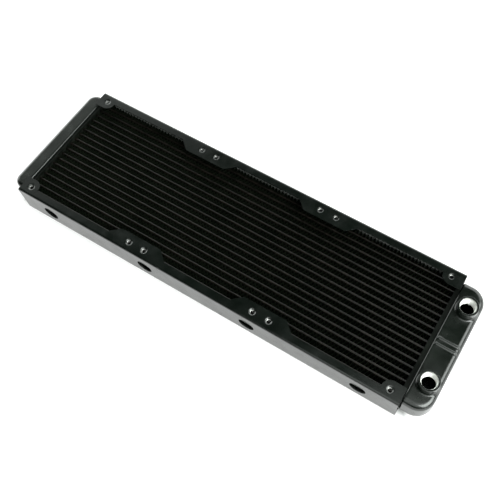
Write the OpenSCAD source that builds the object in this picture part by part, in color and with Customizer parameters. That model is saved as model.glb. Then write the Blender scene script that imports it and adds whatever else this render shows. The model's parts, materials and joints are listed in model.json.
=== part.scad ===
// Liquid cooling radiator for three 120 mm fans in a row.
// X runs along the radiator towards the port tank, Y across it, Z up.
// The origin is the centre of the middle fan's screw pattern, on the bottom face.

/* [Fan pattern] */
// Distance between the centres of neighbouring fans
fan_pitch = 120; // [120:0.5:121]
// Screw hole spacing of one fan, the same both ways
fan_holes = 105; // [104.6:0.1:105.4]
// Radius of the tapped bore that takes a fan screw
screw_bore_r = 1.65; // [1.2:0.05:1.9]
// Radius of the shallow dish around each tapped bore
screw_dish_r = 3.4; // [2.6:0.1:3.8]
// Depth of the dish
screw_dish_depth = 0.45; // [0.2:0.05:0.5]
// Length of the tapped collar, from the flange's outer face
collar_len = 3; // [2.4:0.1:4]

/* [Side rails] */
// Length of each side rail
rail_len = 364; // [362:1:366]
// Overall width across both rails
body_w = 120; // [119.6:0.1:121]
// Overall height across the rail flanges
body_h = 30; // [29:0.5:32]
// Thickness of the rail's sheet
rail_sheet = 1.2; // [1:0.1:1.4]
// Outer radius of the rail's bends
bend_r = 1.8; // [1.6:0.1:2.4]
// Width of the plain flange
flange_w = 7; // [6:0.5:8]
// Reach of a tab beyond the centre of its screw hole
tab_reach = 7.3; // [6.5:0.1:8]
// Radius of the round windows in the rail's web
window_r = 7; // [4:0.5:8]
// Distance between neighbouring windows
window_pitch = 100; // [90:1:105]

/* [Core] */
// Offset of the core and the rails from the fan pattern, towards the port tank
core_shift = 1; // [0:0.5:2]
// Number of flat tubes
tube_count = 18; // [18:2:18]
// Distance between neighbouring tubes
tube_pitch = 6; // [5.9:0.05:6]
// Thickness of a flat tube
tube_t = 2; // [1.6:0.1:2.2]
// Depth of a flat tube, through the radiator
tube_d = 16; // [14:1:18]
// Wall of a flat tube
tube_wall = 0.3; // [0.2:0.05:0.4]
// Distance between neighbouring fin walls along the radiator
fin_spacing = 1.6; // [1.5:0.1:2.4]
// Depth of a fin strip, a little less than the tube's
fin_d = 15.4; // [13:0.2:17]

/* [Tanks] */
// Reach of the port tank beyond the fan pattern's centre
port_tank_end = 205; // [203.5:0.5:206]
// Reach of the return tank beyond the fan pattern's centre
return_tank_end = 193; // [190.5:0.5:196]
// Width across a tank
tank_w = 111; // [110:0.5:112]
// Height of a tank
tank_h = 24; // [23.6:0.2:25]
// Corner radius of the port tank, seen from above
port_corner_r = 14; // [10:0.5:16]
// Corner radius of the return tank, seen from above
return_corner_r = 8; // [6:0.5:8]
// Radius of the tanks' outer edges
tank_edge_r = 3.2; // [2.6:0.1:3.6]
// Thickness of the tank's sheet
tank_sheet = 1.4; // [1.3:0.1:1.6]
// Distance between the two beads over the divider
bead_pitch = 5.2; // [4.8:0.1:6]
// Height of the beads above the tank
bead_h = 1.1; // [0.6:0.1:1.4]
// Thickness of the divider between the two chambers
divider_t = 1.5; // [1:0.1:2]

/* [Ports] */
// Distance of the ports from the fan pattern's centre, along the radiator
port_x = 194.4; // [194.2:0.1:194.8]
// Distance of each port from the radiator's centre line
port_y = 33.6; // [30:0.1:36]
// Height of the port rims above the bottom face
port_rim_z = 35.5; // [34:0.5:37]
// Outer radius of a port bush
port_r = 8.3; // [8:0.1:8.5]
// Bore radius of a port bush, the minor radius of a G 1/4 thread
port_bore_r = 5.72; // [5.7:0.01:5.95]

/* [Hidden] */
$fn = 64;
HULL_FN = 32;        // segments of circles and discs inside a hull
EPS = 0.01;          // overshoot of cutting tools
SOLDER_GAP = 0.05;   // gap that solder fills between two pieces

half_w = body_w / 2;
mid_z = body_h / 2;
rail_x0 = core_shift - rail_len / 2;
rail_x1 = core_shift + rail_len / 2;

// Header pans: a plate that carries the tubes, and a rim that the tank slips over.
header_sheet = 1.2;
header_x = rail_x1 - 3.4;                    // the face that looks at the core
rim_len = 5.4;
rim_w = tank_w - 2 * (tank_sheet + SOLDER_GAP);
rim_h = tank_h - 2 * (tank_sheet + SOLDER_GAP);
rim_edge_r = tank_edge_r - tank_sheet;
header_w = body_w - 2 * (rail_sheet + SOLDER_GAP);
core_half_l = header_x - core_shift;

// Tanks
tank_x = rail_x1 + 0.4;                      // the open end of the port tank
tank_top = mid_z + tank_h / 2;
lip_r = tank_sheet - 0.2;                    // rounding of the open end
seat_depth = 0.75;                           // the port bush sits in a shallow seat
seat_z = tank_top - seat_depth;
bush_neck_r = 7.4;
bush_bottom = tank_top - tank_sheet - 1;
mouth_chamfer = 1;

// Core
tube_half_l = core_half_l + header_sheet + 0.8;    // the tubes stand proud inside the tanks
fin_h = tube_pitch - tube_t - 2 * SOLDER_GAP;
fin_ribbon = 0.5;                            // thickness of the folded strip, measured across Y
fin_walls = floor((2 * core_half_l - 1) / fin_spacing);
side_plate_t = 0.8;
side_plate_y = (tube_count + 1) * tube_pitch / 2 - tube_t / 2;

screw_x = [for (fan = [-1:1]) for (side = [-1, 1]) fan * fan_pitch + side * fan_holes / 2];
screw_y = fan_holes / 2;
window_x = [for (i = [-1.5:1:1.5]) i * window_pitch];

// ---- Shared shapes ----

// Extrudes a section drawn in the YZ plane along X.
module along_x(x0, x1) {
    translate([x0, 0, 0]) rotate([90, 0, 90]) linear_extrude(x1 - x0) children();
}

// A rectangle with round corners, centred in its own plane.
module round_rect(w, h, r) {
    square([w - 2 * r, h], center = true);
    square([w, h - 2 * r], center = true);
    for (x = [-1, 1]) for (y = [-1, 1])
        translate([x * (w / 2 - r), y * (h / 2 - r)]) circle(r);
}

// A flat tube's section: thickness t across, depth d through the radiator.
module obround(t, d) {
    square([t, d - t], center = true);
    for (y = [-1, 1]) translate([0, y * (d - t) / 2]) circle(t / 2);
}

// Turns a piece of the port end into its twin at the return end of the core.
module at_return_end() {
    translate([2 * core_shift, 0, 0]) mirror([1, 0, 0]) children();
}

// ---- Side rails ----

// The outline of the channel as far as its widest flange reaches, set in from the outside by inset.
module channel_section(inset, r) {
    reach = half_w - screw_y + tab_reach + 1;
    translate([half_w - reach, inset]) square([reach - inset - r, body_h - 2 * inset]);
    translate([half_w - reach, inset + r]) square([reach - inset, body_h - 2 * (inset + r)]);
    for (z = [inset + r, body_h - inset - r])
        translate([half_w - inset - r, z]) circle(r);
}

module channel() {
    along_x(rail_x0, rail_x1) difference() {
        channel_section(0, bend_r);
        translate([-EPS, 0]) channel_section(rail_sheet, bend_r - rail_sheet);
    }
}

// A tab of the flange around the screw hole at the rail's end, rounded about the hole.
module corner_tab(hole_x, end_x) {
    away = sign(end_x);
    hull() {
        translate([hole_x, screw_y]) circle(tab_reach, $fn = HULL_FN);
        translate([end_x, screw_y - tab_reach + 1]) square(2, center = true);
        for (x = [hole_x - away * (tab_reach - 1), end_x])
            translate([x, half_w - 1]) square(2, center = true);
    }
}

// A tab of the flange around the two screw holes where neighbouring fans meet.
module pair_tab(x) {
    top_len = 40;
    foot_len = 57;
    round_r = 3;
    translate([x, 0]) hull() {
        for (end = [-1, 1])
            translate([end * (top_len / 2 - round_r / 2), screw_y - tab_reach + round_r])
                circle(round_r, $fn = HULL_FN);
        translate([-foot_len / 2, half_w - flange_w]) square([foot_len, flange_w]);
    }
}

// The flange's outline from above, before it is cut to the rail's length.
module flange_outline() {
    translate([rail_x0, half_w - flange_w]) square([rail_len, flange_w]);
    corner_tab(max(screw_x), rail_x1);
    corner_tab(min(screw_x), rail_x0);
    for (side = [-1, 1]) pair_tab(side * fan_pitch / 2);
}

// Opens one tapped bore and its dish. The outer face of the flange is at z = 0.
module bore_tool() {
    translate([0, 0, -collar_len - 1]) cylinder(r = screw_bore_r, h = collar_len + 2);
    translate([0, 0, -screw_dish_depth])
        cylinder(r1 = screw_bore_r, r2 = screw_dish_r, h = screw_dish_depth);
}

// Puts its children at every screw hole of the rear rail, on both faces, z pointing outwards.
module at_screw_holes() {
    for (x = screw_x) {
        translate([x, screw_y, body_h]) children();
        translate([x, screw_y, 0]) mirror([0, 0, 1]) children();
    }
}

module rail() {
    collar_r = screw_bore_r + 1.1;
    difference() {
        union() {
            intersection() {
                channel();
                linear_extrude(body_h) flange_outline();
            }
            at_screw_holes() translate([0, 0, -collar_len])
                cylinder(r = collar_r, h = collar_len - rail_sheet / 2);
        }
        at_screw_holes() bore_tool();
        for (x = window_x)
            translate([x, half_w - 2 * rail_sheet, mid_z]) rotate([-90, 0, 0])
                cylinder(r = window_r, h = 4 * rail_sheet);
    }
}

module rear_rail() {
    color([0.13, 0.14, 0.14]) rail();
}

module front_rail() {
    color([0.13, 0.14, 0.14]) mirror([0, 1, 0]) rail();
}

// ---- Header pans ----

module header() {
    plate_end = header_x + header_sheet;
    translate([0, 0, mid_z]) difference() {
        union() {
            along_x(header_x, plate_end) square([header_w, rim_h], center = true);
            along_x(header_x, plate_end + rim_len) round_rect(rim_w, rim_h, rim_edge_r);
        }
        along_x(plate_end, plate_end + rim_len + 1)
            round_rect(rim_w - 2 * header_sheet, rim_h - 2 * header_sheet, rim_edge_r / 2);
        for (i = [1:tube_count])
            translate([0, tube_y(i), 0]) along_x(header_x - 1, plate_end + 1)
                obround(tube_t + 2 * SOLDER_GAP, tube_d + 2 * SOLDER_GAP);
    }
}

module port_header() {
    color([0.12, 0.13, 0.13]) header();
}

module return_header() {
    color([0.12, 0.13, 0.13]) at_return_end() header();
}

// ---- Tanks ----

// Half a disc with a rolled edge, the shape of a tank's far corner.
module corner_disc(r, h, edge) {
    rotate([0, 0, -90]) rotate_extrude(angle = 180) intersection() {
        round_rect(2 * r, h, edge, $fn = HULL_FN);
        translate([0, -h / 2]) square([r, h]);
    }
}

// A solid tank from x0 to x1, rounded by edge all round its outside and by lip at its open end.
module tank_block(x0, x1, w, h, corner_r, edge, lip) {
    lip_steps = lip > 0 ? 5 : 1;
    translate([0, 0, mid_z]) hull() {
        for (side = [-1, 1])
            translate([x1 - corner_r, side * (w / 2 - corner_r), 0]) corner_disc(corner_r, h, edge);
        for (step = [0:lip_steps]) {
            inset = lip * (1 - sin(90 * step / lip_steps));
            x = x0 + lip * (1 - cos(90 * step / lip_steps));
            along_x(x, x + EPS) round_rect(w - 2 * inset, h - 2 * inset, edge, $fn = HULL_FN);
        }
    }
}

// The room inside a tank whose sheet is wall thick.
module tank_room(end_x, corner_r, wall) {
    tank_block(tank_x - 1, end_x - wall, tank_w - 2 * wall, tank_h - 2 * wall,
               corner_r - wall, tank_edge_r - wall, 0);
}

module tank_shell(end_x, corner_r) {
    difference() {
        tank_block(tank_x, end_x, tank_w, tank_h, corner_r, tank_edge_r, lip_r);
        tank_room(end_x, corner_r, tank_sheet);
    }
}

// Two beads across the tank on each face, one on each side of the divider.
module divider_beads() {
    bead_r = 2.6;
    bead_start = tank_x + bead_r;
    bead_stop = port_tank_end - tank_edge_r - 0.4;
    axis_z = tank_h / 2 + bead_h - bead_r;
    for (side = [-1, 1]) for (face = [-1, 1])
        translate([0, side * bead_pitch / 2, mid_z + face * axis_z]) {
            along_x(bead_start, bead_stop) circle(bead_r);
            for (x = [bead_start, bead_stop]) translate([x, 0, 0]) sphere(bead_r);
        }
}

module port_tank() {
    color([0.15, 0.16, 0.16]) difference() {
        union() {
            tank_shell(port_tank_end, port_corner_r);
            difference() {
                divider_beads();
                tank_room(port_tank_end, port_corner_r, tank_sheet / 2);
            }
        }
        for (side = [-1, 1]) translate([port_x, side * port_y, 0]) {
            translate([0, 0, bush_bottom]) cylinder(r = bush_neck_r + SOLDER_GAP, h = tank_sheet + 2);
            translate([0, 0, seat_z]) cylinder(r = port_r + SOLDER_GAP, h = seat_depth + 1);
        }
    }
}

module return_tank() {
    color([0.15, 0.16, 0.16]) at_return_end()
        tank_shell(return_tank_end + 2 * core_shift, return_corner_r);
}

// The plate that parts the inlet chamber from the outlet chamber.
module tank_divider() {
    plate_x = header_x + header_sheet + SOLDER_GAP;
    rim_end = header_x + header_sheet + rim_len + SOLDER_GAP;
    end_x = port_tank_end - tank_sheet - SOLDER_GAP;
    narrow_h = rim_h - 2 * (header_sheet + SOLDER_GAP);
    wide_h = tank_h - 2 * (tank_sheet + SOLDER_GAP);
    color([0.72, 0.55, 0.25]) translate([0, divider_t / 2, mid_z]) rotate([90, 0, 0])
        linear_extrude(divider_t) {
            translate([plate_x, -narrow_h / 2]) square([end_x - plate_x - rim_edge_r, narrow_h]);
            translate([rim_end, -wide_h / 2]) square([end_x - rim_end - rim_edge_r, wide_h]);
            translate([rim_end, rim_edge_r - wide_h / 2])
                square([end_x - rim_end, wide_h - 2 * rim_edge_r]);
            for (side = [-1, 1])
                translate([end_x - rim_edge_r, side * (wide_h / 2 - rim_edge_r)]) circle(rim_edge_r);
        }
}

// ---- Ports ----

module port_bush() {
    color([0.75, 0.76, 0.74]) translate([port_x, port_y, 0]) difference() {
        union() {
            translate([0, 0, bush_bottom]) cylinder(r = bush_neck_r, h = port_rim_z - bush_bottom);
            translate([0, 0, seat_z + SOLDER_GAP])
                cylinder(r = port_r, h = port_rim_z - seat_z - SOLDER_GAP);
        }
        translate([0, 0, bush_bottom - 1])
            cylinder(r = port_bore_r, h = port_rim_z - bush_bottom + 2);
        translate([0, 0, port_rim_z - mouth_chamfer])
            cylinder(r1 = port_bore_r, r2 = port_bore_r + mouth_chamfer, h = mouth_chamfer);
    }
}

module inlet_port_bush() {
    port_bush();
}

module outlet_port_bush() {
    mirror([0, 1, 0]) port_bush();
}

// ---- Core ----

// The place of tube i across the radiator, counted from the front.
function tube_y(i) = (i - (tube_count + 1) / 2) * tube_pitch;

module flat_tube(i) {
    color([0.17, 0.17, 0.16]) translate([core_shift, tube_y(i), mid_z])
        along_x(-tube_half_l, tube_half_l) difference() {
            obround(tube_t, tube_d);
            obround(tube_t - 2 * tube_wall, tube_d - 2 * tube_wall);
        }
}

// One edge of the folded strip: a zigzag that meets the tubes on both sides in turn.
function zigzag(lift) = [for (w = [0:fin_walls])
    [(w - fin_walls / 2) * fin_spacing, (w % 2 == 0 ? -1 : 1) * (fin_h - fin_ribbon) / 2 + lift]];

function backwards(points) = [for (k = [len(points) - 1:-1:0]) points[k]];

// Fin strip i lies in front of tube i, and the last one behind the last tube.
module fin_strip(i) {
    color([0.08, 0.08, 0.08])
        translate([core_shift, tube_y(i) - tube_pitch / 2, mid_z - fin_d / 2]) linear_extrude(fin_d)
            polygon(concat(zigzag(-fin_ribbon / 2), backwards(zigzag(fin_ribbon / 2))));
}

module side_plate() {
    half_l = core_half_l - SOLDER_GAP;
    color([0.12, 0.12, 0.12]) translate([core_shift - half_l, side_plate_y, mid_z - tube_d / 2])
        cube([2 * half_l, side_plate_t, tube_d]);
}

module rear_side_plate() {
    side_plate();
}

module front_side_plate() {
    mirror([0, 1, 0]) side_plate();
}

// ---- Nodes ----

function two_digits(i) = str(i < 10 ? "0" : "", i);

front_rail();
rear_rail();
port_header();
return_header();
port_tank();
return_tank();
tank_divider();
inlet_port_bush();
outlet_port_bush();
front_side_plate();
rear_side_plate();
for (i = [1:tube_count])
    flat_tube(i);
for (i = [1:tube_count + 1])
    fin_strip(i);
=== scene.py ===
"""Looks of the liquid cooling radiator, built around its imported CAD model. Every length is in metres."""

import json
import math

import bmesh
import bpy
import numpy as np
from mathutils import Matrix, Vector


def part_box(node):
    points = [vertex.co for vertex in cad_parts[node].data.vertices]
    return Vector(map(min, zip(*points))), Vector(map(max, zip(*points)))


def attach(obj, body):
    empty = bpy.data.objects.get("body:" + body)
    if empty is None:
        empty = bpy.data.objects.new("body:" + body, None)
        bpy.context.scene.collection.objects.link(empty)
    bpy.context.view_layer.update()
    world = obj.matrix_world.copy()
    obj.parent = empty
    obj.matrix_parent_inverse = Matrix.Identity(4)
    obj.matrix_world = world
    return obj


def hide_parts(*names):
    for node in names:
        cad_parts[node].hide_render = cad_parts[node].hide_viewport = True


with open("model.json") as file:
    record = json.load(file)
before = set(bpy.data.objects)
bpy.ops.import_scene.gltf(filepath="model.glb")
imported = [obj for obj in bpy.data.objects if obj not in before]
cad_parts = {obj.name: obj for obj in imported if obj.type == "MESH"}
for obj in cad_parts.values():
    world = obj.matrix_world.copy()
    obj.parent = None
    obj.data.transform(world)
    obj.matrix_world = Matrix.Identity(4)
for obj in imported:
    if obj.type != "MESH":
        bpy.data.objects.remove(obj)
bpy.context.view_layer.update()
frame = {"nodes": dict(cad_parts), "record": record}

MM = 0.001
BODY = "root"


# ---- Sizes, read from the frame where it holds them ----

def low(node):
    return Vector(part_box(node)[0])


def high(node):
    return Vector(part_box(node)[1])


RAIL_TOP = high("rear_rail").z
MID_Z = RAIL_TOP / 2
QUARTER = math.radians(90)
ROUND_SEGMENTS = 96
TUBE_COUNT = sum(name.startswith("tube_") for name in frame["nodes"])
MOUNTS = {mount["name"]: mount for mount in frame["record"]["mounts"]}


# ---- Mesh helpers ----

WELD_DISTANCE = 1e-6
# Faces that meet at less than the first angle are one flat face, and edges over the second are rounded.
FLAT_ANGLE = math.radians(0.3)
HARD_ANGLE = math.radians(35)


def piece_from(name, bm, smooth_angle=math.radians(30)):
    """Turns a bmesh into a piece that rides on the body, smooth apart from edges sharper than the angle."""
    bmesh.ops.recalc_face_normals(bm, faces=bm.faces)
    mesh = bpy.data.meshes.new(name)
    bm.to_mesh(mesh)
    bm.free()
    mesh.shade_smooth()
    mesh.set_sharp_from_angle(angle=smooth_angle)
    piece = bpy.data.objects.new(name, mesh)
    bpy.context.scene.collection.objects.link(piece)
    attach(piece, BODY)
    return piece


def add_grid(bm, rows, closed_rows=False, closed_columns=False):
    """Joins rows of points into quads. Returns the vertices, row by row."""
    verts = [[bm.verts.new(point) for point in row] for row in rows]
    row_count = len(verts)
    column_count = len(verts[0])
    for i in range(row_count if closed_rows else row_count - 1):
        this, after = verts[i], verts[(i + 1) % row_count]
        for j in range(column_count if closed_columns else column_count - 1):
            k = (j + 1) % column_count
            bm.faces.new((this[j], this[k], after[k], after[j]))
    return verts


def weld(bm):
    bmesh.ops.remove_doubles(bm, verts=bm.verts, dist=WELD_DISTANCE)


def sweep(start, stop, steps):
    """Angles from start to stop, both included."""
    return np.linspace(start, stop, steps + 1)


def apply_modifier(piece, kind, **settings):
    modifier = piece.modifiers.new(kind.lower(), kind)
    for key, value in settings.items():
        setattr(modifier, key, value)
    depsgraph = bpy.context.evaluated_depsgraph_get()
    mesh = bpy.data.meshes.new_from_object(piece.evaluated_get(depsgraph))
    piece.modifiers.clear()
    piece.data = mesh


def softened(node, width):
    """A copy of a CAD node's shape with its hard edges rounded, as a bmesh."""
    bm = bmesh.new()
    bm.from_mesh(frame["nodes"][node].data)
    weld(bm)
    bmesh.ops.dissolve_limit(bm, angle_limit=FLAT_ANGLE, verts=bm.verts, edges=bm.edges)
    hard = [edge for edge in bm.edges if edge.is_manifold and edge.calc_face_angle(0) > HARD_ANGLE]
    bmesh.ops.bevel(bm, geom=hard, offset=width, segments=3, profile=0.5, affect="EDGES",
                    clamp_overlap=True)
    return bm


# ---- Materials ----

# Features per metre of the paint's clouds, dust specks, scuffs and changes in sheen.
CLOUD_SCALE = 45
SPECK_SCALE = 1400
SCUFF_SCALE = 300
SHEEN_SCALE = 90
# The skin's dents are wider and deeper than its grain, by these factors.
DENT_WIDTH = 6
DENT_DEPTH = 3
DUST_COLOUR = (0.25, 0.25, 0.23)
# Pointiness from where an edge starts to wear to where it is fully worn.
WEAR_SPAN = 0.09
TURNING_SCALE = 900
TURNING_DEPTH = 0.02 * MM


def new_material(name):
    material = bpy.data.materials.new(name)
    material.use_nodes = True
    tree = material.node_tree
    shader = tree.nodes["Principled BSDF"]
    return material, tree, shader


def noise(tree, scale, detail, stretch=(1, 1, 1)):
    """Noise in the object's own coordinates; scale is in features per metre."""
    coords = tree.nodes.new("ShaderNodeTexCoord")
    mapping = tree.nodes.new("ShaderNodeMapping")
    mapping.inputs["Scale"].default_value = stretch
    texture = tree.nodes.new("ShaderNodeTexNoise")
    texture.inputs["Scale"].default_value = scale
    texture.inputs["Detail"].default_value = detail
    tree.links.new(coords.outputs["Object"], mapping.inputs["Vector"])
    tree.links.new(mapping.outputs["Vector"], texture.inputs["Vector"])
    return texture.outputs["Fac"]


def ramp(tree, value, stops):
    """Maps a value through colour stops, each (position, colour or grey)."""
    node = tree.nodes.new("ShaderNodeValToRGB")
    elements = node.color_ramp.elements
    while len(elements) < len(stops):
        elements.new(0.5)
    for element, (position, colour) in zip(elements, stops):
        element.position = position
        rgb = (colour,) * 3 if isinstance(colour, (int, float)) else colour
        element.color = (*rgb, 1)
    tree.links.new(value, node.inputs["Fac"])
    return node.outputs["Color"]


def mix(tree, factor, first, second):
    """Blends two colours, each a colour or a node's output, from the first at 0 to the second at 1."""
    node = tree.nodes.new("ShaderNodeMix")
    node.data_type = "RGBA"
    tree.links.new(factor, node.inputs["Factor"])
    for socket, colour in (("A", first), ("B", second)):
        target = next(entry for entry in node.inputs if entry.name == socket and entry.type == "RGBA")
        if isinstance(colour, tuple):
            target.default_value = (*colour, 1)
        else:
            tree.links.new(colour, target)
    return next(entry for entry in node.outputs if entry.type == "RGBA")


def bump(tree, shader, layers):
    """Adds bump layers, each (height, strength, depth in metres)."""
    normal = None
    for height, strength, distance in layers:
        node = tree.nodes.new("ShaderNodeBump")
        node.inputs["Strength"].default_value = strength
        node.inputs["Distance"].default_value = distance
        tree.links.new(height, node.inputs["Height"])
        if normal:
            tree.links.new(normal, node.inputs["Normal"])
        normal = node.outputs["Normal"]
    tree.links.new(normal, shader.inputs["Normal"])


def multiply(tree, first, second):
    """The product of a node's output and either another output or a number."""
    node = tree.nodes.new("ShaderNodeMath")
    node.operation = "MULTIPLY"
    tree.links.new(first, node.inputs[0])
    if isinstance(second, float):
        node.inputs[1].default_value = second
    else:
        tree.links.new(second, node.inputs[1])
    return node.outputs[0]


def edge_mask(tree, wear_from):
    """Near 1 on worn convex edges."""
    geometry = tree.nodes.new("ShaderNodeNewGeometry")
    return ramp(tree, geometry.outputs["Pointiness"], [(wear_from, 0), (wear_from + WEAR_SPAN, 1)])


def satin_paint(name, dark, light, roughness, grain, grain_depth, worn, dust, gloss,
                wear_from=0.57, ior=1.5):
    """Satin paint: cloudy tone, grainy skin, scuffed edges and a little dust."""
    material, tree, shader = new_material(name)
    shader.inputs["Specular IOR Level"].default_value = gloss
    shader.inputs["IOR"].default_value = ior
    tone = ramp(tree, noise(tree, CLOUD_SCALE, detail=6), [(0.3, dark), (0.7, light)])
    dusty = ramp(tree, noise(tree, SPECK_SCALE, detail=2), [(0.66, 0), (0.78, dust)])
    toned = mix(tree, dusty, tone, DUST_COLOUR)
    edges = edge_mask(tree, wear_from)
    scuffs = ramp(tree, noise(tree, SCUFF_SCALE, detail=5), [(0.45, 0), (0.62, 0.55)])
    tree.links.new(mix(tree, multiply(tree, edges, scuffs), toned, worn), shader.inputs["Base Color"])
    sheen = noise(tree, SHEEN_SCALE, detail=5)
    rough = ramp(tree, sheen, [(0.3, roughness - 0.06), (0.75, roughness + 0.08)])
    tree.links.new(rough, shader.inputs["Roughness"])
    bump(tree, shader, [(noise(tree, grain, detail=2), 0.35, grain_depth),
                        (noise(tree, grain / DENT_WIDTH, detail=2), 0.25, grain_depth * DENT_DEPTH)])
    return material


def bare_metal(name, colour, roughness, grain_stretch, metallic=1.0):
    """Machined bare metal with fine turning marks."""
    material, tree, shader = new_material(name)
    marks = noise(tree, TURNING_SCALE, detail=6, stretch=grain_stretch)
    darker = tuple(0.85 * c for c in colour)
    tree.links.new(ramp(tree, marks, [(0.3, darker), (0.7, colour)]), shader.inputs["Base Color"])
    tree.links.new(ramp(tree, marks, [(0.3, roughness - 0.06), (0.7, roughness + 0.1)]),
                   shader.inputs["Roughness"])
    shader.inputs["Metallic"].default_value = metallic
    bump(tree, shader, [(marks, 0.3, TURNING_DEPTH)])
    return material


RAIL_PAINT = satin_paint(
    "rail_paint", dark=(0.0008, 0.0020, 0.0012), light=(0.0020, 0.0038, 0.0026), roughness=0.20,
    grain=2600, grain_depth=0.02 * MM, worn=(0.06, 0.068, 0.06), dust=0.03, gloss=0.78, wear_from=0.66)
TANK_PAINT = satin_paint(
    "tank_paint", dark=(0.0012, 0.0028, 0.0015), light=(0.0026, 0.0048, 0.0030), roughness=0.23,
    grain=1500, grain_depth=0.02 * MM, worn=(0.05, 0.06, 0.05), dust=0.03, gloss=0.75)
HEADER_PAINT = satin_paint(
    "header_paint", dark=(0.0008, 0.0014, 0.0009), light=(0.0030, 0.0042, 0.0030), roughness=0.42,
    grain=900, grain_depth=0.10 * MM, worn=(0.03, 0.032, 0.027), dust=0.06, gloss=0.12)
TUBE_PAINT = satin_paint(
    "tube_paint", dark=(0.0016, 0.0018, 0.0012), light=(0.0040, 0.0034, 0.0026), roughness=0.17,
    grain=2000, grain_depth=0.02 * MM, worn=(0.014, 0.011, 0.009), dust=0.06, gloss=0.30)
# A refractive index of 1 keeps the fins dark where they are seen at a glancing angle.
FIN_PAINT = satin_paint(
    "fin_paint", dark=(0.0030, 0.0046, 0.0028), light=(0.0060, 0.0078, 0.0052), roughness=0.70,
    grain=1800, grain_depth=0.03 * MM, worn=(0.008, 0.009, 0.006), dust=0.02, gloss=0.03, ior=1.0)
SIDE_PLATE_PAINT = satin_paint(
    "side_plate_paint", dark=(0.14, 0.15, 0.145), light=(0.22, 0.23, 0.22), roughness=0.55,
    grain=900, grain_depth=0.05 * MM, worn=(0.2, 0.2, 0.19), dust=0.2, gloss=0.4)
BRASS = bare_metal("divider_metal", (0.60, 0.44, 0.18), roughness=0.35, grain_stretch=(1, 1, 1))
THREAD_METAL = bare_metal("thread_metal", (0.93, 0.93, 0.90), roughness=0.45, grain_stretch=(1, 1, 6),
                          metallic=0.55)
SCREW_METAL = bare_metal("screw_thread_metal", (0.34, 0.34, 0.33), roughness=0.38, grain_stretch=(1, 1, 6))


def paint(thing, material):
    thing.data.materials.clear()
    thing.data.materials.append(material)


# ---- Side rails ----

FAN_PATTERNS = [mount for mount in MOUNTS.values() if mount["kind"] == "bolt_pattern"]
# The upper and the lower face share their holes, so the places are rounded to list each hole once.
SCREW_HOLES = sorted({round(pattern["pos_m"][0] + side * pattern["dims"]["spacing_x_mm"] * MM / 2, 5)
                      for pattern in FAN_PATTERNS for side in (-1, 1)})
SCREW_Y = FAN_PATTERNS[0]["dims"]["spacing_y_mm"] * MM / 2
SCREW_BORE_R = FAN_PATTERNS[0]["dims"]["hole_r_mm"] * MM
SCREW_ROOT_R = 2.02 * MM
SCREW_DISH_FLOOR = 1.0 * MM
SCREW_COLLAR = 3.0 * MM
SCREW_PITCH = 0.7 * MM
SCREW_SEGMENTS = 32
SCREW_SLEEVE_GAP = 0.01 * MM
BORE_TOLERANCE = 0.05 * MM
RAIL_EDGE_R = 0.32 * MM
SLEEVE_WALL = 0.1 * MM
THREAD_LEVELS = 12
# Above 0.5, the thread's crests and roots are flat.
THREAD_SWING = 0.8


def thread_sleeve(bm, centre, crest_r, root_r, pitch, z_low, z_high, segments, mouth=0.0):
    """A closed sleeve with a thread inside, which fades out at the bottom and below a plain mouth."""
    outer_r = root_r + SLEEVE_WALL
    levels = round((z_high - z_low) / pitch * THREAD_LEVELS)
    rows = []
    for k in range(segments):
        turn = k / segments
        profile = [(outer_r, z_low)]
        for z in np.linspace(z_low, z_high, levels + 1):
            wave = THREAD_SWING * math.cos(2 * math.pi * (z / pitch - turn))
            rise = min(1.0, max(0.0, 0.5 + wave))
            fade = min(1.0, max(0.0, (z_high - mouth - z) / pitch), (z - z_low) / pitch)
            profile.append((root_r - (root_r - crest_r) * rise * fade, z))
        profile.append((outer_r, z_high))
        angle = 2 * math.pi * turn
        rows.append([(centre[0] + r * math.cos(angle), centre[1] + r * math.sin(angle), z)
                     for r, z in profile])
    add_grid(bm, rows, closed_rows=True, closed_columns=True)


def open_screw_bores(bm, side):
    """Widens the rail's bores to the thread's root and lowers their mouths to the floor of a dish."""
    for vert in bm.verts:
        for x in SCREW_HOLES:
            offset = Vector((vert.co.x - x, vert.co.y - side * SCREW_Y))
            if abs(offset.length - SCREW_BORE_R) < BORE_TOLERANCE:
                offset *= SCREW_ROOT_R / offset.length
                vert.co.x = x + offset.x
                vert.co.y = side * SCREW_Y + offset.y
                if vert.co.z > MID_Z:
                    vert.co.z = min(vert.co.z, RAIL_TOP - SCREW_DISH_FLOOR)
                else:
                    vert.co.z = max(vert.co.z, SCREW_DISH_FLOOR)


def screw_threads(side):
    """The threads of one rail's screw holes, on its lower and its upper flange, as a bmesh."""
    bm = bmesh.new()
    for x in SCREW_HOLES:
        for z_low in (SCREW_DISH_FLOOR, RAIL_TOP - SCREW_COLLAR):
            thread_sleeve(bm, (x, side * SCREW_Y), SCREW_BORE_R, SCREW_ROOT_R - SCREW_SLEEVE_GAP,
                          SCREW_PITCH, z_low, z_low + SCREW_COLLAR - SCREW_DISH_FLOOR, SCREW_SEGMENTS)
    return bm


def rail_piece(node):
    side = 1 if low(node).y > 0 else -1
    bm = softened(node, RAIL_EDGE_R)
    open_screw_bores(bm, side)
    piece = piece_from(node + "_body", bm)
    apply_modifier(piece, "WEIGHTED_NORMAL", keep_sharp=True)
    paint(piece, RAIL_PAINT)
    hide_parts(node)
    thread_piece = piece_from(node + "_threads", screw_threads(side))
    paint(thread_piece, SCREW_METAL)


for node in ("front_rail", "rear_rail"):
    rail_piece(node)


# ---- Tanks ----

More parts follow.
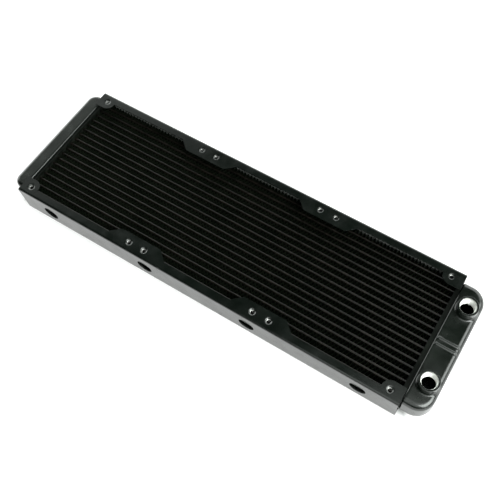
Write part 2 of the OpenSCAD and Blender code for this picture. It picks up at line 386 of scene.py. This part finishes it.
PORTS = {name: MOUNTS[name] for name in ("inlet_port", "outlet_port")}
PORT_HOLE_DEPTH = 8 * MM
BUSH_NECK_R = 7.4 * MM
TANK_SHEET = 1.4 * MM
TANK_SMOOTH = math.radians(45)
PAN_SMOOTH = math.radians(50)
LIP_R = 1.2 * MM
LIP_STEPS = 6
WALL_STEPS = 4
ARC_STEPS = 14
ACROSS_STEPS = 20
# The places of a row's points across the tank, from -1 at one side wall to 1 at the other.
ACROSS = [2 * k / ACROSS_STEPS - 1 for k in range(ACROSS_STEPS + 1)]


class Tank:
    """A pan with an open end, rounded edges and two round corners. toward is 1 at the port end."""

    def __init__(self, node, toward, corner_r, edge_r, overlap=0.0):
        box_low, box_high = low(node), high(node)
        self.toward = toward
        self.open_x = (box_low.x if toward > 0 else -box_high.x) - overlap
        self.end_x = box_high.x if toward > 0 else -box_low.x
        self.half_w = (box_high.y - box_low.y) / 2
        self.half_h = (high("return_tank").z - low("return_tank").z) / 2
        self.corner_r = corner_r
        self.edge_r = edge_r

    def rows_in_plan(self):
        """For each row from the open end: (x, angle round the corner, inset of the lip).

        A row has an x along the straight wall, and an angle from there on, so the other of the two is None.
        """
        rows = [(self.open_x + LIP_R * (1 - math.cos(angle)), None, LIP_R * (1 - math.sin(angle)))
                for angle in sweep(0, QUARTER, LIP_STEPS)]
        wall_start = self.open_x + LIP_R
        wall_length = self.end_x - self.corner_r - wall_start
        rows += [(wall_start + wall_length * k / WALL_STEPS, None, 0.0) for k in range(1, WALL_STEPS + 1)]
        rows += [(None, angle, 0.0) for angle in sweep(0, QUARTER, ARC_STEPS)[1:]]
        return rows

    def side_point(self, row, delta):
        """The plan position of the side wall on a row, set in by delta."""
        x, angle, lip_inset = row
        if angle is None:
            return x, self.half_w - lip_inset - delta
        r = self.corner_r - delta
        return (self.end_x - self.corner_r + r * math.sin(angle),
                self.half_w - self.corner_r + r * math.cos(angle))

    def profile(self):
        """From the top edge of the wall to its bottom edge: (set-in, height above the middle)."""
        points = [(self.edge_r * (1 - math.sin(angle)), self.half_h - self.edge_r * (1 - math.cos(angle)))
                  for angle in sweep(0, QUARTER, ARC_STEPS)]
        return points + [(delta, -z) for delta, z in reversed(points)]

    def top_z(self, x, y):
        """Height of the outer top surface, which falls away near the rounded edges."""
        x *= self.toward
        y = abs(y)
        centre_x, centre_y = self.end_x - self.corner_r, self.half_w - self.corner_r
        if x > centre_x and y > centre_y:
            edge = self.corner_r - math.hypot(x - centre_x, y - centre_y)
        else:
            edge = min(self.end_x - x, self.half_w - y)
        drop = 0.0
        if edge < self.edge_r:
            drop = self.edge_r - math.sqrt(max(0.0, self.edge_r ** 2 - (self.edge_r - edge) ** 2))
        return MID_Z + self.half_h - drop

    def wall_ring(self, row, share):
        """A row's points down the wall, at a share of the tank's half width."""
        lip_inset = row[2]
        ring = []
        for delta, z in self.profile():
            x, y = self.side_point(row, delta)
            ring.append((self.toward * x, share * y, MID_Z + z - math.copysign(lip_inset, z)))
        return ring

    def cap_row(self, row, face):
        """A row's points across the flat of the upper or the lower face."""
        x, y = self.side_point(row, self.edge_r)
        z = MID_Z + face * (self.half_h - row[2])
        return [(self.toward * x, share * y, z) for share in ACROSS]

    def shell(self):
        """The outer surface as a bmesh, open at the end that takes the header."""
        bm = bmesh.new()
        rows = self.rows_in_plan()
        rings = [self.wall_ring(row, -1) for row in rows]
        rings += [self.wall_ring(rows[-1], share) for share in ACROSS[1:-1]]
        rings += [self.wall_ring(row, 1) for row in reversed(rows)]
        add_grid(bm, rings)
        for face in (-1, 1):
            add_grid(bm, [self.cap_row(row, face) for row in rows])
        weld(bm)
        return bm


def pan_piece(tank, node):
    piece = piece_from(node + "_pan", tank.shell(), PAN_SMOOTH)
    apply_modifier(piece, "SOLIDIFY", thickness=TANK_SHEET, offset=-1.0, use_even_offset=True)
    return piece


def cut_port_holes(pan, tank):
    """Opens the pan's upper face under the two bushes."""
    holes = bmesh.new()
    for mount in PORTS.values():
        centre = Matrix.Translation((mount["pos_m"][0], mount["pos_m"][1], MID_Z + tank.half_h))
        bmesh.ops.create_cone(holes, cap_ends=True, segments=ROUND_SEGMENTS, radius1=BUSH_NECK_R,
                              radius2=BUSH_NECK_R, depth=PORT_HOLE_DEPTH, matrix=centre)
    cutter = piece_from("cutter", holes)
    apply_modifier(pan, "BOOLEAN", object=cutter, operation="DIFFERENCE", solver="EXACT")
    bpy.data.objects.remove(cutter)


def finish_tank(piece, node):
    piece.data.shade_smooth()
    piece.data.set_sharp_from_angle(angle=TANK_SMOOTH)
    paint(piece, TANK_PAINT)
    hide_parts(node)


port_tank = Tank("port_tank", 1, corner_r=14 * MM, edge_r=5.0 * MM)
return_tank = Tank("return_tank", -1, corner_r=8 * MM, edge_r=3.2 * MM, overlap=1.5 * MM)

port_pan = pan_piece(port_tank, "port_tank")
cut_port_holes(port_pan, port_tank)
finish_tank(port_pan, "port_tank")
finish_tank(pan_piece(return_tank, "return_tank"), "return_tank")


# ---- Beads over the divider ----

BEAD_Y = 2.65 * MM
BEAD_HEIGHT = 1.3 * MM
BEAD_TOP_R = 2.0 * MM
BEAD_FOOT_R = 0.6 * MM
BEAD_START_GAP = 2.8 * MM
BEAD_END_GAP = 3.6 * MM
# The foot lies this far under the tank's surface, and a skirt goes down from it to close the bead.
BEAD_SINK = 0.02 * MM
BEAD_SKIRT = 0.4 * MM
BEAD_TOP_STEPS = 8
BEAD_FOOT_STEPS = 4
BEAD_END_STEPS = 16
BEAD_SMOOTH = math.radians(60)


def bead_profile():
    """From the crest down: (distance from the centre line, height), a round top into a round foot."""
    slope = math.acos(1 - BEAD_HEIGHT / (BEAD_TOP_R + BEAD_FOOT_R))
    half = (BEAD_TOP_R + BEAD_FOOT_R) * math.sin(slope)
    top = [(BEAD_TOP_R * math.sin(a), BEAD_HEIGHT - BEAD_TOP_R * (1 - math.cos(a)))
           for a in sweep(0, slope, BEAD_TOP_STEPS)]
    foot = [(half - BEAD_FOOT_R * math.sin(a), BEAD_FOOT_R * (1 - math.cos(a)))
            for a in sweep(slope, 0, BEAD_FOOT_STEPS)]
    return top + foot[1:]


def bead(bm, tank, y, face):
    """A pressed ridge along X with round ends, which follows the tank's surface."""
    ends = ((tank.end_x - BEAD_END_GAP, -QUARTER), (tank.open_x + BEAD_START_GAP, QUARTER))
    layers = []
    for offset, lift in bead_profile():
        layer = []
        for end_x, start in ends:
            for angle in sweep(start, start + 2 * QUARTER, BEAD_END_STEPS):
                px, py = end_x + offset * math.cos(angle), y + offset * math.sin(angle)
                z = tank.top_z(px, py) - BEAD_SINK + lift
                layer.append((px, py, z if face > 0 else 2 * MID_Z - z))
        layers.append(layer)
    skirt = [(px, py, pz - face * BEAD_SKIRT) for px, py, pz in layers[-1]]
    verts = add_grid(bm, layers + [skirt], closed_columns=True)
    bm.faces.new(verts[-1])


beads = bmesh.new()
for face in (-1, 1):
    for side in (-1, 1):
        bead(beads, port_tank, side * BEAD_Y, face)
weld(beads)
bead_piece = piece_from("divider_beads", beads, BEAD_SMOOTH)
paint(bead_piece, TANK_PAINT)


# ---- Ports ----

# The pitch of a G 1/4 thread.
PORT_PITCH = 1.337 * MM
PORT_ROOT_R = 6.6 * MM
PORT_MOUTH = 1.8 * MM
PORT_SEGMENTS = 72
PORT_SLEEVE_GAP = 0.02 * MM
PORT_SLEEVE_RISE = 0.1 * MM
PORT_SLEEVE_DROP = 0.35 * MM
PORT_CHAMFER_DEPTH = 0.9 * MM
BUSH_NECK_GAP = 0.05 * MM
BUSH_NECK_TOP = 0.4 * MM
BUSH_RIM_R = 0.3 * MM
BUSH_MOUTH_R = 0.4 * MM
BUSH_MOUTH_STEPS = 5
BUSH_SMOOTH = math.radians(40)
FLARE_R = 1.6 * MM
FLARE_STEPS = 8
# How far the flare stays from the tank's end, and how far its foot sinks into the tank.
FLARE_END_GAP = 0.5 * MM
FLARE_SINK = 0.05 * MM


def lathe(bm, centre, profile):
    """Turns a closed profile of (radius, height) round a vertical axis. Returns the vertices, row by row."""
    rows = []
    for k in range(ROUND_SEGMENTS):
        angle = 2 * math.pi * k / ROUND_SEGMENTS
        rows.append([(centre[0] + r * math.cos(angle), centre[1] + r * math.sin(angle), z)
                     for r, z in profile])
    return add_grid(bm, rows, closed_rows=True, closed_columns=True)


def arc(centre_r, centre_z, radius, start, stop, steps=FLARE_STEPS):
    """Points of an arc in a lathe profile, angles in degrees from the outward direction."""
    return [(centre_r + radius * math.cos(angle), centre_z + radius * math.sin(angle))
            for angle in sweep(math.radians(start), math.radians(stop), steps)]


def bush_profile(outer_r, rim, seat, bottom):
    """From the foot of the flare up to the rim, down the mouth and the bore, and round the neck."""
    neck_r = BUSH_NECK_R - BUSH_NECK_GAP
    profile = arc(outer_r + FLARE_R, seat + FLARE_R, FLARE_R, 270, 180)
    profile += arc(outer_r - BUSH_RIM_R, rim - BUSH_RIM_R, BUSH_RIM_R, 0, 90)
    profile += arc(PORT_ROOT_R + BUSH_MOUTH_R, rim - BUSH_MOUTH_R, BUSH_MOUTH_R, 90, 180, BUSH_MOUTH_STEPS)
    profile += [(PORT_ROOT_R, rim - PORT_CHAMFER_DEPTH), (PORT_ROOT_R, bottom)]
    profile += [(neck_r, bottom), (neck_r, seat - BUSH_NECK_TOP)]
    return profile


def settle_flare(row, tank, seat):
    """Bends the flare onto the tank's rounded surface, fully at its foot and less towards its top."""
    for index in range(FLARE_STEPS + 1):
        vert = row[index]
        vert.co.x = min(vert.co.x, tank.end_x - FLARE_END_GAP)
        drop = seat - tank.top_z(vert.co.x, vert.co.y)
        vert.co.z -= drop * (1 - index / FLARE_STEPS)
    row[0].co.z -= FLARE_SINK


def port_pieces(name, mount):
    node = name + "_bush"
    centre = mount["pos_m"]
    rim = high(node).z
    bottom = low(node).z
    outer_r = (high(node).x - low(node).x) / 2
    seat = MID_Z + port_tank.half_h
    bm = bmesh.new()
    for row in lathe(bm, centre, bush_profile(outer_r, rim, seat, bottom)):
        settle_flare(row, port_tank, seat)
    collar = piece_from(name + "_collar", bm, BUSH_SMOOTH)
    paint(collar, TANK_PAINT)
    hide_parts(node)
    thread = bmesh.new()
    thread_sleeve(thread, centre, mount["dims"]["r_mm"] * MM, PORT_ROOT_R - PORT_SLEEVE_GAP, PORT_PITCH,
                  bottom + PORT_SLEEVE_RISE, rim - PORT_SLEEVE_DROP, PORT_SEGMENTS, mouth=PORT_MOUTH)
    thread_piece = piece_from(name + "_thread", thread)
    paint(thread_piece, THREAD_METAL)


for name, mount in PORTS.items():
    port_pieces(name, mount)


# ---- Core ----

FIN_SPACING = 1.6 * MM
FIN_FOIL = 0.12 * MM
FIN_STEPS = 6
FIN_SMOOTH = math.radians(60)
# At 1 the folds are sharp points, and less makes them rounder.
FOLD_SHARPNESS = 0.985


def fold_line(box_low, box_high):
    """The middle line of a folded strip in plan, as an array of points."""
    mid_y = (box_low.y + box_high.y) / 2
    half = (box_high.y - box_low.y) / 2 - FIN_FOIL / 2
    walls = round((box_high.x - box_low.x) / FIN_SPACING)
    points = []
    for k in range(walls * FIN_STEPS + 1):
        wall = k / FIN_STEPS
        wave = math.asin(FOLD_SHARPNESS * math.cos(math.pi * wall)) / math.asin(FOLD_SHARPNESS)
        points.append((box_low.x + wall * FIN_SPACING, mid_y - half * wave))
    return np.array(points)


def fin_piece(node):
    """A folded strip of foil with round folds."""
    box_low, box_high = low(node), high(node)
    line = fold_line(box_low, box_high)
    along = np.gradient(line, axis=0)
    along /= np.linalg.norm(along, axis=1)[:, None]
    across = np.stack([-along[:, 1], along[:, 0]], 1) * FIN_FOIL / 2
    rows = [[(a[0], a[1], box_low.z), (a[0], a[1], box_high.z), (b[0], b[1], box_high.z),
             (b[0], b[1], box_low.z)] for a, b in zip(line + across, line - across)]
    bm = bmesh.new()
    verts = add_grid(bm, rows, closed_columns=True)
    bm.faces.new(verts[0])
    bm.faces.new(verts[-1])
    piece = piece_from(node + "_foil", bm, FIN_SMOOTH)
    paint(piece, FIN_PAINT)
    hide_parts(node)


for number in range(1, TUBE_COUNT + 2):
    fin_piece(f"fin_{number:02d}")

for number in range(1, TUBE_COUNT + 1):
    paint(frame["nodes"][f"tube_{number:02d}"], TUBE_PAINT)
for node in ("port_header", "return_header"):
    paint(frame["nodes"][node], HEADER_PAINT)
for node in ("front_side_plate", "rear_side_plate"):
    paint(frame["nodes"][node], SIDE_PLATE_PAINT)
paint(frame["nodes"]["tank_divider"], BRASS)


# ---- Camera, floor and light ----

# Where the camera stands: its turn about Z from the front, its height angle and its tilt, in degrees.
CAMERA_AZIMUTH = 32.66
CAMERA_ELEVATION = 61.81
CAMERA_ROLL = -2.09
CAMERA_TARGET = Vector((49.5, 31.3, 30.0)) * MM
CAMERA_DISTANCE = 581.1 * MM
# The lens is in millimetres of focal length, as Blender takes it.
CAMERA_LENS = 50.89
CAMERA_SHIFT_X = -0.1087
CAMERA_SHIFT_Y = -0.0450
CAMERA_NEAREST = 0.01

FLOOR_HALF = 6
FLOOR_COLOUR = (0.45, 0.45, 0.45, 1)
FLOOR_GLOW = 0.86
# A painted shadow in the floor's glow: it is off within these half sizes, and full again at the reach
# outside them.
SHADE_HALF_X = 190 * MM
SHADE_HALF_Y = 58 * MM
SHADE_INSET = 2 * MM
SHADE_REACH = 45 * MM

PANEL_TINT = (0.95, 1.0, 0.965)
# Each softbox: its name, where it stands, its width and height, and how bright it looks.
PANELS = [
    ("top_panel", (0.53, -0.22, 1.60), (0.96, 1.45), 1.5),
    ("right_panel", (1.20, -0.25, 0.95), (1.2, 1.1), 9.0),
    ("right_back_panel", (1.20, 0.62, 0.90), (0.8, 1.0), 4.5),
    ("front_panel", (0.45, -1.05, 1.30), (1.5, 1.2), 1.4),
    ("left_panel", (-1.40, 0.45, 0.50), (1.5, 0.8), 4.0),
    ("high_left_panel", (-1.72, 0.90, 1.60), (1.5, 1.2), 0.5),
    ("back_panel", (0.0, 1.45, 0.68), (2.4, 1.1), 2.6),
]
ROOM_COLOUR = (0.02, 0.02, 0.02)
SKY_STRENGTH = 2.0


def place_camera():
    azimuth, elevation, roll = (math.radians(a) for a in (CAMERA_AZIMUTH, CAMERA_ELEVATION, CAMERA_ROLL))
    back = Vector((math.sin(azimuth) * math.cos(elevation), -math.cos(azimuth) * math.cos(elevation),
                   math.sin(elevation)))
    right = Vector((math.cos(azimuth), math.sin(azimuth), 0))
    up = back.cross(right)
    rolled_right = right * math.cos(roll) + up * math.sin(roll)
    rolled_up = up * math.cos(roll) - right * math.sin(roll)
    data = bpy.data.cameras.new("camera")
    data.lens = CAMERA_LENS
    data.shift_x = CAMERA_SHIFT_X
    data.shift_y = CAMERA_SHIFT_Y
    data.clip_start = CAMERA_NEAREST
    camera = bpy.data.objects.new("camera", data)
    rotation = Matrix((rolled_right, rolled_up, back)).transposed().to_4x4()
    camera.matrix_world = Matrix.Translation(CAMERA_TARGET + back * CAMERA_DISTANCE) @ rotation
    bpy.context.scene.collection.objects.link(camera)
    bpy.context.scene.camera = camera


def painted_shadow_under(tree):
    """A painted shadow, standing in for the light the rails shut out: 1 on the open floor and 0 under the
    object, rising back over SHADE_REACH around it.
    """
    coords = tree.nodes.new("ShaderNodeTexCoord")
    split = tree.nodes.new("ShaderNodeSeparateXYZ")
    tree.links.new(coords.outputs["Object"], split.inputs["Vector"])
    outside = tree.nodes.new("ShaderNodeMath")
    outside.operation = "MAXIMUM"
    for socket, (axis, half) in enumerate((("X", SHADE_HALF_X), ("Y", SHADE_HALF_Y))):
        distance = tree.nodes.new("ShaderNodeMath")
        distance.operation = "ABSOLUTE"
        tree.links.new(split.outputs[axis], distance.inputs[0])
        stops = [(half - SHADE_INSET, 0), (half, 0.65), (half + SHADE_REACH, 1)]
        tree.links.new(ramp(tree, distance.outputs[0], stops), outside.inputs[socket])
    return outside.outputs[0]


def make_floor():
    """White paper on a light table. From below it is clear, so that the underside can be looked at."""
    bm = bmesh.new()
    bmesh.ops.create_grid(bm, x_segments=2, y_segments=2, size=FLOOR_HALF)
    mesh = bpy.data.meshes.new("floor")
    bm.to_mesh(mesh)
    bm.free()
    floor = bpy.data.objects.new("floor", mesh)
    bpy.context.scene.collection.objects.link(floor)
    material, tree, shader = new_material("floor_paper")
    shader.inputs["Base Color"].default_value = FLOOR_COLOUR
    shader.inputs["Roughness"].default_value = 0.9
    shader.inputs["Specular IOR Level"].default_value = 0.0
    shader.inputs["Emission Color"].default_value = (1, 1, 1, 1)
    # The glow carries the painted shadow under and around the object.
    glow = multiply(tree, painted_shadow_under(tree), FLOOR_GLOW)
    tree.links.new(glow, shader.inputs["Emission Strength"])
    clear = tree.nodes.new("ShaderNodeBsdfTransparent")
    facing = tree.nodes.new("ShaderNodeNewGeometry")
    surface = tree.nodes.new("ShaderNodeMixShader")
    tree.links.new(facing.outputs["Backfacing"], surface.inputs["Fac"])
    tree.links.new(shader.outputs["BSDF"], surface.inputs[1])
    tree.links.new(clear.outputs["BSDF"], surface.inputs[2])
    tree.links.new(surface.outputs["Shader"], tree.nodes["Material Output"].inputs["Surface"])
    paint(floor, material)


def soft_panel(name, position, size, radiance):
    """A softbox that faces the object. Its power follows from how bright it looks."""
    width, height = size
    data = bpy.data.lights.new(name, "AREA")
    data.shape = "RECTANGLE"
    data.size = width
    data.size_y = height
    data.energy = radiance * math.pi * width * height
    data.color = PANEL_TINT
    light = bpy.data.objects.new(name, data)
    light.location = position
    light.rotation_euler = Vector(position).to_track_quat("Z", "Y").to_euler()
    bpy.context.scene.collection.objects.link(light)


def make_sky():
    """A white backdrop behind the object, down at the horizon, and a dark room above and in front."""
    world = bpy.data.worlds.new("studio")
    bpy.context.scene.world = world
    world.use_nodes = True
    tree = world.node_tree
    coords = tree.nodes.new("ShaderNodeTexCoord")
    split = tree.nodes.new("ShaderNodeSeparateXYZ")
    tree.links.new(coords.outputs["Generated"], split.inputs["Vector"])
    height = ramp(tree, split.outputs["Z"], [(0.0, 1.0), (0.06, 0.5), (0.16, 0.03), (1.0, 0.01)])
    behind = ramp(tree, split.outputs["Y"], [(0.45, 0.0), (0.75, 1.0)])
    colour = mix(tree, behind, ROOM_COLOUR, height)
    tree.links.new(colour, tree.nodes["Background"].inputs["Color"])
    tree.nodes["Background"].inputs["Strength"].default_value = SKY_STRENGTH


place_camera()
make_floor()
make_sky()
for name, position, size, radiance in PANELS:
    soft_panel(name, position, size, radiance)
bpy.context.scene.view_settings.view_transform = "Standard"
